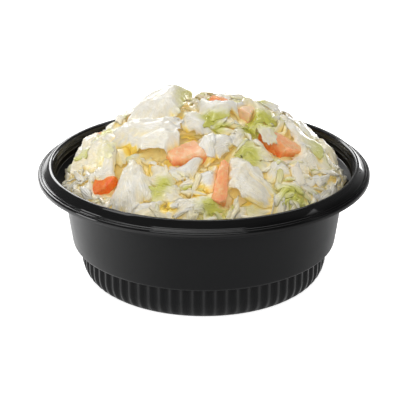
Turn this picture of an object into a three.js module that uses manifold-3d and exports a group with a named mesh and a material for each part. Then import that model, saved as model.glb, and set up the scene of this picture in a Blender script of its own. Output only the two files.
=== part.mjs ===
// Coleslaw in a round take-out bowl: a thin plastic bowl with a stepped rim and a ribbed foot,
// a heap of chopped cabbage that fills it and stands high above the rim, and carrot pieces in the heap.
// Millimetres, +Z up. The origin is the middle of the foot ring, on the surface the bowl stands on.
import * as THREE from "three";
import { mergeVertices } from "three/addons/utils/BufferGeometryUtils.js";
import Module from "manifold-3d";

const wasm = await Module();
wasm.setup();

// Driving dimensions.

const bowl = {
  lipRadius: 73, // outer edge of the rim
  height: 52, // crest of the rim above the table
  wall: 0.9, // thickness of the moulded wall
  crestRadius: 67.5, // middle of the rolled crest
  seatTop: [65.95, 50.2], // lid seat: the steep ring inside the crest
  seatFoot: [65.25, 44.4],
  ledgeInner: [62.4, 42.7], // ledge below the lid seat
  wallTop: [61.0, 41.0], // inner face of the side wall, top and bottom
  shoulder: [57.85, 17.6],
  bandRadius: 54.1, // outside of the wall between the ribs
  bandTop: 15.4,
  heelHeight: 9, // the band curves in to the foot below this
  footOuter: 48.9,
  footInner: 45.4,
  footRecess: 1.0,
  floor: 2.0, // inside floor level
  segments: 48,
};

const ribs = {
  count: 72,
  depth: 0.85,
  proud: 0.12, // valleys of the ribbed belt stand this far off the wall
  root: 0.45, // the belt reaches this far into the wall
  fadeLevel: 5, // below this the ribs die away towards the foot
  top: 15.85,
};

const heap = {
  gap: 0.35, // slaw to plastic
  radius: 62, // where the top of the heap meets the bowl
  edge: 41, // level of the heap at that radius
  rise: 33.5, // height of its top above that level
  fullness: 0.75, // exponent of the dome, lower is fuller
  coreDrop: 4.2, // the core lies this far under the tops of the pieces
  rings: 8,
  segments: 32,
  backReach: 58.2, // pieces at the back and sides stop here, short of the rim
  frontReach: 64.6, // pieces at the front lie on the ledge
  pieces: 52, // scattered leaves, before those under a large leaf are left out
  clearing: 0.42, // share of a large leaf's width that it keeps free round its middle
  frontLine: -6, // pieces that lie in front of this reach the ledge
  seed: 20417,
};

const leafThickness = 1.9;
const carrotGap = 0.35; // slaw to carrot

function plasticMaterial() {
  return new THREE.MeshStandardMaterial({ color: 0x17181a, roughness: 0.3, metalness: 0 });
}

function cabbageMaterial() {
  return new THREE.MeshStandardMaterial({ color: 0xe4e0c6, roughness: 0.35, metalness: 0 });
}

function carrotMaterial() {
  return new THREE.MeshStandardMaterial({ color: 0xf08a45, roughness: 0.4, metalness: 0 });
}

const radians = THREE.MathUtils.degToRad;

// A seeded draw between low and high.
function drawFrom(seed) {
  let state = seed;
  return (low, high) => {
    state = (state + 0x6d2b79f5) | 0;
    let t = Math.imul(state ^ (state >>> 15), 1 | state);
    t = (t + Math.imul(t ^ (t >>> 7), 61 | t)) ^ t;
    const unit = ((t ^ (t >>> 14)) >>> 0) / 4294967296;
    return low + unit * (high - low);
  };
}

// The closed geometry as a solid: shared vertices merged, collapsed triangles left out.
function solidOf(geometry) {
  const bare = geometry.clone();
  bare.deleteAttribute("normal");
  bare.deleteAttribute("uv");
  const merged = mergeVertices(bare, 1e-4);
  const kept = [];
  const index = merged.index.array;
  for (let i = 0; i < index.length; i += 3) {
    const [a, b, c] = [index[i], index[i + 1], index[i + 2]];
    if (a !== b && b !== c && c !== a) kept.push(a, b, c);
  }
  return new wasm.Manifold(
    new wasm.Mesh({
      numProp: 3,
      vertProperties: merged.attributes.position.array,
      triVerts: new Uint32Array(kept),
    }),
  );
}

function geometryOf(solid) {
  const mesh = solid.getMesh();
  const geometry = new THREE.BufferGeometry();
  geometry.setAttribute("position", new THREE.BufferAttribute(mesh.vertProperties, 3));
  geometry.setIndex(new THREE.BufferAttribute(mesh.triVerts, 1));
  geometry.computeVertexNormals();
  return geometry;
}

// The largest body of a solid, with loose scraps and sealed hollows left out.
function mainBody(solid) {
  return solid.decompose().reduce((best, body) => (body.volume() > best.volume() ? body : best));
}

// A profile of [radius, height] pairs turned round the Z axis.
function turned(profile, segments) {
  const points = profile.map(([r, z]) => new THREE.Vector2(r, z));
  return new THREE.LatheGeometry(points, segments).rotateX(Math.PI / 2);
}

// Moves each vertex of a geometry by a function that changes the vector it is given.
function reshape(geometry, move) {
  const position = geometry.getAttribute("position");
  const point = new THREE.Vector3();
  for (let i = 0; i < position.count; i += 1) {
    point.fromBufferAttribute(position, i);
    move(point);
    position.setXYZ(i, point.x, point.y, point.z);
  }
  return geometry;
}

// A quarter of an ellipse from the flat foot up to the side, as [radius, height] pairs.
function heelArc(footRadius, footLevel, sideRadius, sideLevel, steps) {
  const arc = [];
  for (let i = 0; i <= steps; i += 1) {
    const angle = (i / steps) * (Math.PI / 2);
    arc.push([
      footRadius + (sideRadius - footRadius) * Math.sin(angle),
      sideLevel - (sideLevel - footLevel) * Math.cos(angle),
    ]);
  }
  return arc;
}

// The inside of the heel, set in by a gap.
function innerHeel(gap) {
  const side = bowl.bandRadius - bowl.wall - gap;
  return heelArc(bowl.footOuter - 1.3 - gap, bowl.floor + gap, side, bowl.heelHeight + 0.5, 2);
}

// Outside of the bowl from the middle of its base up to the edge of the lip.
function outerSkin() {
  const { wall, height, lipRadius, shoulder, wallTop, ledgeInner, seatFoot, seatTop } = bowl;
  return [
    [0, bowl.footRecess],
    [bowl.footInner - bowl.footRecess, bowl.footRecess],
    [bowl.footInner, 0],
    ...heelArc(bowl.footOuter, 0, bowl.bandRadius, bowl.heelHeight, 2),
    [bowl.bandRadius, bowl.bandTop],
    [shoulder[0] + wall - 0.5, bowl.bandTop + 0.5],
    [shoulder[0] + wall, bowl.bandTop + 1.2],
    [wallTop[0] + wall, wallTop[1] + 0.3],
    [ledgeInner[0] + wall * 0.6, ledgeInner[1] - wall],
    [seatFoot[0] + wall, seatFoot[1] - wall * 0.8],
    [seatTop[0] + wall, seatTop[1]],
    [bowl.crestRadius, height - wall],
    [lipRadius - 2.4, height - 3.6],
    [lipRadius - 1.0, height - 4.4],
    [lipRadius - wall, height - 5.6],
    [lipRadius, height - 5.6],
  ];
}

// Inside of the bowl from the edge of the lip over the crest and down to the middle of the floor.
function innerSkin() {
  const { height, lipRadius, crestRadius, wallTop, shoulder, wall } = bowl;
  return [
    [lipRadius, height - 4.1],
    [lipRadius - 0.7, height - 3.4],
    [lipRadius - 1.8, height - 2.8],
    [crestRadius + 0.9, height - 0.3],
    [crestRadius, height],
    [crestRadius - 0.9, height - 0.4],
    bowl.seatTop,
    bowl.seatFoot,
    bowl.ledgeInner,
    wallTop,
    shoulder,
    [bowl.bandRadius - wall, shoulder[1] - 1.1],
    ...innerHeel(0).reverse(),
    [0, bowl.floor],
  ];
}

// The ribbed belt round the foot: a ring let into the wall, whose outer face steps out at every
// other vertex, once for each rib, with the ribs fading out where the heel curves in.
function ribBelt() {
  const base = bowl.bandRadius + ribs.proud;
  const face = heelArc(bowl.footOuter, 0, base, bowl.heelHeight, 4).slice(2);
  const foot = [face[0][0] - ribs.root * 2, face[0][1]];
  const profile = [
    foot,
    ...face,
    [base, ribs.top],
    [base - ribs.proud - ribs.root, ribs.top],
    [base - ribs.proud - ribs.root, bowl.heelHeight],
    foot,
  ];
  const outside = new Map([...face, [base, ribs.top]].map(([r, z]) => [z.toFixed(2), r]));
  const pitch = (2 * Math.PI) / ribs.count;
  return reshape(turned(profile, ribs.count * 2), (point) => {
    const radius = Math.hypot(point.x, point.y);
    const phase = Math.atan2(point.y, point.x) / pitch;
    const onCrest = Math.abs(phase - Math.round(phase)) < 0.25;
    const onFace = Math.abs(radius - outside.get(point.z.toFixed(2))) < 0.01;
    if (!onCrest || !onFace) return;
    const fade = Math.min(1, point.z / ribs.fadeLevel);
    point.x *= (radius + ribs.depth * fade) / radius;
    point.y *= (radius + ribs.depth * fade) / radius;
  });
}

function buildBowl() {
  const shell = solidOf(turned([...outerSkin(), ...innerSkin()], bowl.segments));
  return mainBody(shell.add(solidOf(ribBelt())));
}

// Slow swellings that keep the dome from being regular.
function swelling(x, y) {
  const left = 2.2 * Math.exp(-((x + 13) ** 2 + (y - 4) ** 2) / 160);
  const right = 2.4 * Math.exp(-((x - 27) ** 2 + (y - 4) ** 2) / 190);
  const back = 1.6 * Math.exp(-((x + 6) ** 2 + (y - 34) ** 2) / 260);
  return left + right + back + 0.7 * Math.sin(x / 7.5 + 1) * Math.cos(y / 8.5);
}

// Level of the tops of the pieces over a point of the table.
function heapLevel(x, y) {
  const part = Math.min(1, (x * x + y * y) / heap.radius ** 2);
  const dome = (1 - part) ** heap.fullness;
  return heap.edge + heap.rise * dome + swelling(x, y) * Math.min(1, dome * 3);
}

function heapNormal(x, y) {
  const step = 1.5;
  const dx = (heapLevel(x + step, y) - heapLevel(x - step, y)) / (2 * step);
  const dy = (heapLevel(x, y + step) - heapLevel(x, y - step)) / (2 * step);
  return new THREE.Vector3(-dx, -dy, 1).normalize();
}

// Inner radius of the side wall at a level.
function wallRadius(level) {
  const { wallTop, shoulder } = bowl;
  const part = (level - shoulder[1]) / (wallTop[1] - shoulder[1]);
  return THREE.MathUtils.lerp(shoulder[0], wallTop[0], part);
}

// Inner face of the bowl set in by a gap, from the middle of the floor up to a level of the wall.
function liningProfile(gap, level) {
  const { shoulder, wall } = bowl;
  return [
    [0, bowl.floor + gap],
    ...innerHeel(gap),
    [bowl.bandRadius - wall - gap, shoulder[1] - 1.1 + gap],
    [shoulder[0] - gap, shoulder[1] + gap],
    [wallRadius(level) - gap * 1.3, level],
  ];
}

// The packed middle of the slaw, from the floor of the bowl to just under the pieces on top.
function heapCore() {
  const edgeLevel = heap.edge - heap.coreDrop;
  const lining = liningProfile(heap.gap, edgeLevel);
  const edgeRadius = lining[lining.length - 1][0];
  const dome = [];
  for (let i = 1; i <= heap.rings; i += 1) {
    dome.push([edgeRadius * Math.cos((i / heap.rings) * (Math.PI / 2)), edgeLevel]);
  }
  dome[dome.length - 1][0] = 0;
  const core = turned([...lining, ...dome], heap.segments);
  return reshape(core, (point) => {
    if (point.z < edgeLevel - 0.01 || Math.hypot(point.x, point.y) > edgeRadius - 0.01) return;
    point.z = Math.max(edgeLevel, heapLevel(point.x, point.y) - heap.coreDrop);
  });
}

// Room for the pieces: inside the bowl with the gap kept, and within a reach above the lid seat.
function roomWithin(reach) {
  const top = heap.edge + heap.rise + 12;
  const profile = [
    ...liningProfile(heap.gap, bowl.wallTop[1]),
    [bowl.ledgeInner[0] - heap.gap * 1.6, bowl.ledgeInner[1] + heap.gap],
    [Math.max(reach, bowl.ledgeInner[0]) - heap.gap, bowl.seatFoot[1] + heap.gap],
    [reach, bowl.seatFoot[1] + heap.gap * 2],
    [reach, top],
    [0, top],
  ];
  return solidOf(turned(profile, bowl.segments));
}

// A thin wavy leaf with an uneven four-sided outline. Both faces are the same plane, split alike,
// half a thickness apart, joined round the border.
function leafGeometry({ length, width, columns, rows, bend, cup, wave, taper, skew }) {
  const plane = new THREE.PlaneGeometry(length, width, columns, rows);
  const across = columns + 1;
  const layer = plane.attributes.position.count;
  const vertices = [];
  for (const side of [1, -1]) {
    for (let i = 0; i < layer; i += 1) {
      const u = (2 * plane.attributes.position.getX(i)) / length;
      const v = (2 * plane.attributes.position.getY(i)) / width;
      const x = (length / 2) * (u + skew * v * 0.5);
      const y = (width / 2) * v * (1 - taper * u);
      const lift = bend * (1 - u * u) + cup * (1 - v * v) + wave * Math.sin(2.4 * u + 1.7 * v);
      vertices.push(x, y, lift + (side * leafThickness) / 2);
    }
  }
  const top = Array.from(plane.index.array);
  const triangles = [...top];
  for (let i = 0; i < top.length; i += 3) {
    triangles.push(top[i] + layer, top[i + 2] + layer, top[i + 1] + layer);
  }
  const border = [];
  for (let i = 0; i < columns; i += 1) border.push(i);
  for (let j = 0; j < rows; j += 1) border.push(j * across + columns);
  for (let i = columns; i > 0; i -= 1) border.push(rows * across + i);
  for (let j = rows; j > 0; j -= 1) border.push(j * across);
  border.forEach((a, i) => {
    const b = border[(i + 1) % border.length];
    triangles.push(a, b, b + layer, a, b + layer, a + layer);
  });
  const geometry = new THREE.BufferGeometry();
  geometry.setAttribute("position", new THREE.Float32BufferAttribute(vertices, 3));
  geometry.setIndex(triangles);
  return geometry;
}

// Lays a piece on the heap at x, y: its length along a heading, one end lifted, rolled about its length.
function layingMatrix({ x, y, heading, lift = 0, roll = 0, raise = 0 }) {
  const normal = heapNormal(x, y);
  const along = new THREE.Vector3(Math.cos(radians(heading)), Math.sin(radians(heading)), 0);
  along.addScaledVector(normal, -along.dot(normal)).normalize();
  const sideways = new THREE.Vector3().crossVectors(normal, along);
  const turn = new THREE.Matrix4().makeBasis(along, sideways, normal);
  turn.multiply(new THREE.Matrix4().makeRotationY(-radians(lift)));
  turn.multiply(new THREE.Matrix4().makeRotationX(radians(roll)));
  const place = new THREE.Vector3(x, y, heapLevel(x, y)).addScaledVector(normal, raise);
  return turn.setPosition(place);
}

// The large leaves that give the heap its outline: place, heading, size, tilt and curve.
const largeLeaves = [
  { x: -12, y: 3, heading: 25, length: 29, width: 24, bend: 3.8, cup: 2.6, raise: -0.6 },
  { x: -16, y: -20, heading: 5, length: 32, width: 17, bend: 1.5, cup: 1.5, raise: -1.8, roll: 8 },
  { x: -42, y: -7, heading: 120, length: 27, width: 20, bend: 1.4, cup: 1.6, raise: -1.6, lift: 6 },
  { x: -46, y: -20, heading: 170, length: 24, width: 15, bend: 1, cup: 1.4, raise: -1.7, lift: 8 },
  { x: -25, y: -41, heading: 70, length: 25, width: 16, bend: 1.6, cup: 1, raise: -1.5 },
  { x: 19, y: -44, heading: -35, length: 28, width: 15, bend: 1.2, cup: 2.6, raise: -1.4 },
  { x: 30, y: -35, heading: 80, length: 15, width: 10, bend: 1, cup: 1.4, raise: -0.6, lift: 14 },
  { x: 40, y: -21, heading: 60, length: 21, width: 15, bend: 1.4, cup: 1.4, raise: -1.4 },
  { x: 49, y: -6, heading: 40, length: 20, width: 14, bend: 1, cup: 1, raise: -1.4, lift: 10 },
  { x: 52, y: -23, heading: 110, length: 18, width: 15, bend: 1.2, cup: 1.6, raise: -1.2, lift: 6 },
  { x: 6, y: -27, heading: 10, length: 18, width: 14, bend: 1.4, cup: 1.6, raise: -0.8, roll: -10 },
  { x: 20, y: -25, heading: 60, length: 17, width: 14, bend: 1.2, cup: 1.2, raise: -0.8, roll: 12 },
  { x: 21, y: 0, heading: 80, length: 24, width: 20, bend: 2.4, cup: 1.8, raise: -1.2 },
  { x: 32, y: 4, heading: 95, length: 20, width: 15, bend: 2, cup: 1.5, raise: -1, roll: -8 },
  { x: 41, y: 9, heading: 30, length: 18, width: 13, bend: 1.5, cup: 1.2, raise: -0.8, lift: -8 },
  { x: 6, y: -8, heading: -20, length: 22, width: 17, bend: 2.2, cup: 1.2, raise: -1.4, roll: 8 },
  { x: 36, y: -43, heading: 15, length: 22, width: 12, bend: 1, cup: 1.4, raise: -1.4 },
  { x: -3, y: -53, heading: 12, length: 34, width: 12, bend: 1.2, cup: 1.2, raise: -1.8 },
  { x: -41, y: -40, heading: 60, length: 16, width: 12, bend: 1, cup: 1.4, raise: -1.4, lift: 8 },
  { x: -56, y: -18, heading: 108, length: 19, width: 12, bend: 0.8, cup: 1, raise: -0.9, roll: -6 },
  { x: 56, y: -18, heading: 72, length: 19, width: 12, bend: 0.8, cup: 1, raise: -0.9, roll: 6 },
  { x: -36, y: 22, heading: 60, length: 22, width: 17, bend: 1.6, cup: 1.6, raise: -1.4, lift: -6 },
  { x: 4, y: 44, heading: 10, length: 26, width: 15, bend: 1.4, cup: 1.6, raise: -1.5 },
  { x: 40, y: 30, heading: 130, length: 22, width: 15, bend: 1.4, cup: 1.2, raise: -1.4, lift: 6 },
];

// Leaves scattered evenly over the whole heap by a sunflower spiral, leaving out places
// that the large leaves cover.
function scatteredLeaves(draw) {
  const goldenAngle = Math.PI * (3 - Math.sqrt(5));
  const reach = heap.radius - 7;
  const leaves = [];
  for (let i = 0; i < heap.pieces; i += 1) {
    const radius = reach * Math.sqrt((i + 0.5) / heap.pieces);
    const angle = i * goldenAngle + draw(-0.12, 0.12);
    const leaf = {
      x: radius * Math.cos(angle),
      y: radius * Math.sin(angle),
      heading: draw(0, 360),
      length: draw(14, 23),
      width: draw(8, 14),
      bend: draw(0.6, 2.4),
      cup: draw(0.2, 1.4),
      lift: draw(-20, 20),
      roll: draw(-16, 16),
      raise: draw(-2.2, -0.9),
      wave: draw(-0.8, 0.8),
      taper: draw(-0.3, 0.3),
      skew: draw(-0.3, 0.3),
      columns: 3,
      rows: 1,
    };
    const covered = largeLeaves.some((large) => {
      const distance = Math.hypot(large.x - leaf.x, large.y - leaf.y);
      return distance < large.width * heap.clearing;
    });
    if (!covered) leaves.push(leaf);
  }
  return leaves;
}

function leafSolid(leaf) {
  const shape = { columns: 3, rows: 2, wave: 0.6, taper: 0.1, skew: 0.15, ...leaf };
  return solidOf(leafGeometry(shape).applyMatrix4(layingMatrix(shape)));
}

// Carrot pieces: place on the heap, heading, size, how far they stand out and how they lean.
const carrotPieces = [
  { x: -41.5, y: -33, heading: 5, length: 12, width: 7.5, depth: 5, raise: -1.2 },
  { x: -7.5, y: -33, heading: 22, length: 16, width: 10, depth: 6, raise: -1.2, roll: -8 },
  { x: 7.2, y: -46.5, heading: 88, length: 22, width: 6, depth: 5.5, raise: 0, lift: 4 },
  { x: 34.5, y: -17.5, heading: 15, length: 15, width: 10.5, depth: 6, raise: -0.8, roll: -6 },
  { x: 6.5, y: 7, heading: -5, length: 9, width: 6, depth: 5, raise: -0.4, lift: -6 },
  { x: 18.5, y: -2, heading: 60, length: 9, width: 7, depth: 5, raise: 0.6 },
  { x: -30, y: 24, heading: 140, length: 15, width: 8, depth: 6, raise: -1 },
  { x: 12, y: 31, heading: 20, length: 17, width: 7, depth: 5, raise: -0.8, lift: 6 },
  { x: 42, y: 24, heading: 110, length: 14, width: 9, depth: 6, raise: -1 },
  { x: -48, y: 12, heading: 75, length: 13, width: 6.5, depth: 5, raise: -0.9 },
  { x: -13, y: 47, heading: -15, length: 16, width: 8, depth: 5, raise: -1 },
  { x: 25, y: 45, heading: 165, length: 12, width: 8, depth: 6, raise: -1 },
];

// A cut stick or chunk of carrot: a bar that narrows to one end, with its long edges eased.
function carrotGeometry({ length, width, depth }, grow) {
  const bar = new THREE.BoxGeometry(length, width, depth, 3, 2, 1);
  return reshape(bar, (point) => {
    const u = (2 * point.x) / length;
    const v = (2 * point.y) / width;
    const narrowing = 1 - 0.16 * u - 0.08 * u * u;
    const easing = 1 - 0.22 * v * v;
    point.x = (point.x * (length + grow * 2)) / length;
    point.y = point.y * narrowing * ((width + grow * 2) / width);
    point.z = point.z * easing * ((depth + grow * 2.6) / depth) + 0.05 * length * (1 - u * u) * 0.5;
  });
}

function buildSlaw(carrots) {
  const draw = drawFrom(heap.seed);
  const frontRoom = roomWithin(heap.frontReach);
  const backRoom = roomWithin(heap.backReach);
  let slaw = solidOf(heapCore());
  for (const leaf of [...largeLeaves, ...scatteredLeaves(draw)]) {
    const room = leaf.y < heap.frontLine ? frontRoom : backRoom;
    slaw = slaw.add(leafSolid(leaf).intersect(room));
  }
  for (const carrot of carrots) {
    const pocket = carrotGeometry(carrot, carrotGap).applyMatrix4(layingMatrix(carrot));
    slaw = slaw.subtract(solidOf(pocket));
  }
  return mainBody(slaw);
}

const group = new THREE.Group();

const bowlMesh = new THREE.Mesh(geometryOf(buildBowl()), plasticMaterial());
bowlMesh.name = "bowl";
group.add(bowlMesh);

const slawMesh = new THREE.Mesh(geometryOf(buildSlaw(carrotPieces)), cabbageMaterial());
slawMesh.name = "slaw";
group.add(slawMesh);

carrotPieces.forEach((carrot, i) => {
  const mesh = new THREE.Mesh(carrotGeometry(carrot, 0), carrotMaterial());
  mesh.name = `carrot_${i + 1}`;
  mesh.applyMatrix4(layingMatrix(carrot));
  group.add(mesh);
});

export default group;
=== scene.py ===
import bpy
import numpy as np
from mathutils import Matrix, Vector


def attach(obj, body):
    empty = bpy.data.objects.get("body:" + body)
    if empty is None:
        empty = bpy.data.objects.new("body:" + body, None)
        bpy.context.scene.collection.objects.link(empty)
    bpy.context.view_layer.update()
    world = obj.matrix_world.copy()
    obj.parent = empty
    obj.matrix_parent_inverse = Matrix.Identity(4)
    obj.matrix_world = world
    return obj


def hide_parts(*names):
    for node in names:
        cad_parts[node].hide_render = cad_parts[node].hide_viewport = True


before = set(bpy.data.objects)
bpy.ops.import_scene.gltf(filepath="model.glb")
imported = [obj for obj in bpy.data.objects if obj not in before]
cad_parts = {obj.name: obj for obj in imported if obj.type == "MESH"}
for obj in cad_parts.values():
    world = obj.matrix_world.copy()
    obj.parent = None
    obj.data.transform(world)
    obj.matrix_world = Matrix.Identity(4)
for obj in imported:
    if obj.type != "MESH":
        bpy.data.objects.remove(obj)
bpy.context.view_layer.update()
print("frame loaded:", len(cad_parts), "nodes")

mm = 0.001
scene = bpy.context.scene
scene.view_settings.view_transform = "Standard"
rng = np.random.default_rng(7341)


def smooth(low, high, value):
    # smoothstep: 0 below low, 1 above high, 3t^2 - 2t^3 between
    t = np.clip((value - low) / (high - low), 0, 1)
    return t * t * (3 - 2 * t)


def makeMesh(name, points, quads, triangles=(), uv=None, attributes=None):
    # points in millimetres, faces as index arrays; uv and attributes are one value per point
    mesh = bpy.data.meshes.new(name)
    faces = np.asarray(quads).tolist() + np.asarray(triangles).reshape(-1, 3).tolist()
    mesh.from_pydata((np.asarray(points) * mm).tolist(), [], faces)
    mesh.polygons.foreach_set("use_smooth", np.ones(len(mesh.polygons), bool))
    if uv is not None:
        corner = np.zeros(len(mesh.loops), np.int32)
        mesh.loops.foreach_get("vertex_index", corner)
        layer = mesh.uv_layers.new(name="flat")
        layer.data.foreach_set("uv", np.asarray(uv, np.float32)[corner].ravel())
    for key, values in (attributes or {}).items():
        mesh.attributes.new(key, "FLOAT", "POINT").data.foreach_set(
            "value", np.asarray(values, np.float32).ravel())
    mesh.update()
    piece = bpy.data.objects.new(name, mesh)
    scene.collection.objects.link(piece)
    return piece


def ringFaces(rows, turns, turnedOver=False):
    # quads between neighbouring rings of points, and a fan at each end round the two points that come last
    i, j = np.meshgrid(np.arange(rows - 1), np.arange(turns), indexing="ij")
    k = (j + 1) % turns
    quads = np.stack([i * turns + j, i * turns + k, (i + 1) * turns + k, (i + 1) * turns + j], -1)
    j, k, last, middle = j[0], k[0], (rows - 1) * turns, np.full(turns, rows * turns)
    first = np.stack([middle, k, j], -1)
    second = np.stack([middle + 1, last + j, last + k], -1)
    faces = [quads.reshape(-1, 4), np.vstack([first, second])]
    return [np.roll(face[:, ::-1], 1, 1) for face in faces] if turnedOver else faces


def addPiece(piece, material, slotName, *nodes):
    # every finished piece rides on the one body, and may stand for nodes
    piece.data.materials.append(material)
    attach(piece, "root")
    if nodes:
        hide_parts(*nodes)


def setInput(tree, socket, value):
    # a socket takes another node's output, a number, a vector or a colour
    if hasattr(value, "is_linked"):
        tree.links.new(value, socket)
    else:
        socket.default_value = (*value, 1) if socket.type == "RGBA" else value


def newMaterial(name, finish):
    # a material with the plain values of its finish set on its shader
    material = bpy.data.materials.new(name)
    material.use_nodes = True
    tree = material.node_tree
    shader = tree.nodes["Principled BSDF"]
    for key, value in finish.items():
        setInput(tree, shader.inputs[key], value)
    return material, tree, shader


def addNode(tree, kind, **values):
    # a node with its inputs and settings given by name
    node = tree.nodes.new(kind)
    for key, value in values.items():
        if key in node.inputs:
            setInput(tree, node.inputs[key], value)
        else:
            setattr(node, key, value)
    return node


def calculate(tree, operation, *values, clamp=False):
    # a sum, product or the like of numbers and other nodes' outputs
    node = addNode(tree, "ShaderNodeMath", operation=operation, use_clamp=clamp)
    for socket, value in zip(node.inputs, values):
        setInput(tree, socket, value)
    return node.outputs[0]


def mixColours(tree, factor, first, second):
    # the first colour faded into the second
    node = addNode(tree, "ShaderNodeMix", data_type="RGBA")
    for place, value in ((0, factor), (6, first), (7, second)):
        setInput(tree, node.inputs[place], value)
    return node.outputs[2]


def rampColour(tree, factor, places, colours):
    # the colour at factor on a ramp with the colours at their places
    node = tree.nodes.new("ShaderNodeValToRGB")
    elements = node.color_ramp.elements
    while len(elements) < len(places):
        elements.new(0.5)
    for element, place, colour in zip(elements, places, colours):
        element.position = place
        element.color = (*colour, 1)
    tree.links.new(factor, node.inputs["Fac"])
    return node.outputs["Color"]


def spread(tree, value, low, high, first, last):
    # value from low to high becomes first to last, held at both ends
    limits = {"From Min": low, "From Max": high, "To Min": first, "To Max": last}
    return addNode(tree, "ShaderNodeMapRange", Value=value, **limits).outputs["Result"]


def cloudy(tree, vector, scale, detail, **more):
    # noise read at a vector
    node = addNode(tree, "ShaderNodeTexNoise", Vector=vector, Scale=scale, Detail=detail, **more)
    return node.outputs["Fac"]


def readAttribute(tree, name):
    # the value that the mesh holds at each point
    return addNode(tree, "ShaderNodeAttribute", attribute_name=name).outputs["Fac"]


def addRelief(tree, shader, height, strength, distance):
    # bump from a height
    bump = addNode(tree, "ShaderNodeBump", Height=height, Strength=strength, Distance=distance)
    tree.links.new(bump.outputs["Normal"], shader.inputs["Normal"])


bowlFinish = {
    "wall": (0.009, 0.0092, 0.0096),
    "rim": (0.0005, 0.0005, 0.0006),
    "roughness": (0.38, 0.46),
    "cloudScale": 55.0,
    "peelScale": 900.0,
    "peel": (0.05, 0.0002),  # strength and depth in metres
    "shader": {"Coat Roughness": 0.06, "Specular IOR Level": 0.06},
}


def bowlPlastic():
    # black moulded plastic: satin side wall, darker rim by the attribute rim, gloss by the attribute gloss,
    # cloudy roughness and a faint orange peel
    material, tree, shader = newMaterial("bowlPlastic", bowlFinish["shader"])
    place = tree.nodes.new("ShaderNodeTexCoord").outputs["Object"]
    tone = mixColours(tree, readAttribute(tree, "rim"), bowlFinish["wall"], bowlFinish["rim"])
    setInput(tree, shader.inputs["Base Color"], tone)
    cloud = cloudy(tree, place, bowlFinish["cloudScale"], 4.0)
    setInput(tree, shader.inputs["Roughness"], spread(tree, cloud, 0.3, 0.7, *bowlFinish["roughness"]))
    setInput(tree, shader.inputs["Coat Weight"], readAttribute(tree, "gloss"))
    addRelief(tree, shader, cloudy(tree, place, bowlFinish["peelScale"], 3.0), *bowlFinish["peel"])
    return material


cabbageFinish = {
    # painted shade: warm colours from pale to mustard, laid on the hollows by the attribute deep
    "paintedShadePlaces": (0.0, 0.35, 0.7, 1.0),
    "paintedShadeColour": ((0.92, 0.86, 0.68), (0.92, 0.815, 0.55), (0.92, 0.76, 0.36), (0.92, 0.66, 0.12)),
    "paintedShadeFrom": (0.08, 0.65),
    "fleshPlaces": (0.0, 0.35, 0.65, 1.0),
    "stretch": (0.35, 1.0, 1.0),
    "streakScale": 1.6,
    "blotchScale": 190.0,
    "uneven": (0.6, 1.4),  # range of the streaks and blotches together
    "toneShift": 0.44,
    "greenShift": (0.2, -0.5),
    "crumpleScale": 1.5,
    "grainScale": 420.0,
    "crumples": 0.75,
    "veins": 0.18,
    "relief": 0.65,
    "shader": {
        "Roughness": 0.38, "Subsurface Weight": 0.5, "Subsurface Radius": (1.0, 0.96, 0.82),
        "Subsurface Scale": 0.0006, "Coat Weight": 0.8, "Coat Roughness": 0.12, "Coat IOR": 1.4,
        # painted glow: the hollows give off a little light, as if it came through other leaves
        "Emission Strength": 0.13,
    },
}


def cabbage(name, flesh, green, veins, bumpSize):
    # wet cabbage. Flesh: a ramp from yellow to white read at the attribute shade, moved by streaks along
    # the piece and by blotches. The attribute green turns it green. The attribute deep paints warm shade into
    # the hollows, with a faint painted glow there in place of light that comes through other leaves. Veins
    # and grain give the relief, a thin wet coat the sparkle
    look = cabbageFinish
    material, tree, shader = newMaterial(name, look["shader"])
    place = tree.nodes.new("ShaderNodeTexCoord").outputs["Object"]
    flat = addNode(tree, "ShaderNodeUVMap", uv_map="flat").outputs["UV"]
    along = addNode(tree, "ShaderNodeMapping", Vector=flat, Scale=look["stretch"]).outputs["Vector"]
    greenness, paintedShadeLevel = readAttribute(tree, "green"), readAttribute(tree, "deep")
    streak = cloudy(tree, along, veins * look["streakScale"], 4.0, Roughness=0.6, Distortion=0.6)
    uneven = calculate(tree, "ADD", streak, cloudy(tree, place, look["blotchScale"], 4.0, Roughness=0.6))
    shift = spread(tree, uneven, *look["uneven"], -look["toneShift"], look["toneShift"])
    toned = calculate(tree, "ADD", readAttribute(tree, "shade"), shift, clamp=True)
    pale = rampColour(tree, toned, look["fleshPlaces"], flesh)
    offset = spread(tree, uneven, *look["uneven"], *look["greenShift"])
    greenMix = calculate(tree, "MULTIPLY_ADD", greenness, 1.5, offset, clamp=True)
    leaf = rampColour(tree, greenness, (0.0, 1.0), green)
    # painted shade and glow: the hollow colours mixed in by the attribute deep, and the same colour given off
    # as emission
    paintedShadeColour = rampColour(tree, paintedShadeLevel, look["paintedShadePlaces"], look["paintedShadeColour"])
    paintedShadeAmount = spread(tree, paintedShadeLevel, *look["paintedShadeFrom"], 0.0, 1.0)
    tinted = mixColours(tree, greenMix, mixColours(tree, paintedShadeAmount, pale, paintedShadeColour), leaf)
    setInput(tree, shader.inputs["Base Color"], tinted)
    setInput(tree, shader.inputs["Emission Color"], mixColours(tree, paintedShadeAmount, (0, 0, 0), tinted))
    vein = addNode(tree, "ShaderNodeTexWave", Vector=flat, Scale=veins, Distortion=5.0, Detail=3.0,
                   bands_direction="Y", **{"Detail Scale": 0.6}).outputs["Fac"]
    crumple = cloudy(tree, along, veins * look["crumpleScale"], 4.0, Distortion=1.2,
                     noise_type="RIDGED_MULTIFRACTAL")
    grain = cloudy(tree, place, look["grainScale"], 5.0)
    height = calculate(tree, "MULTIPLY_ADD", vein, look["veins"], grain)
    height = calculate(tree, "MULTIPLY_ADD", crumple, look["crumples"], height)
    addRelief(tree, shader, height, look["relief"], bumpSize)
    return material


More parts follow.
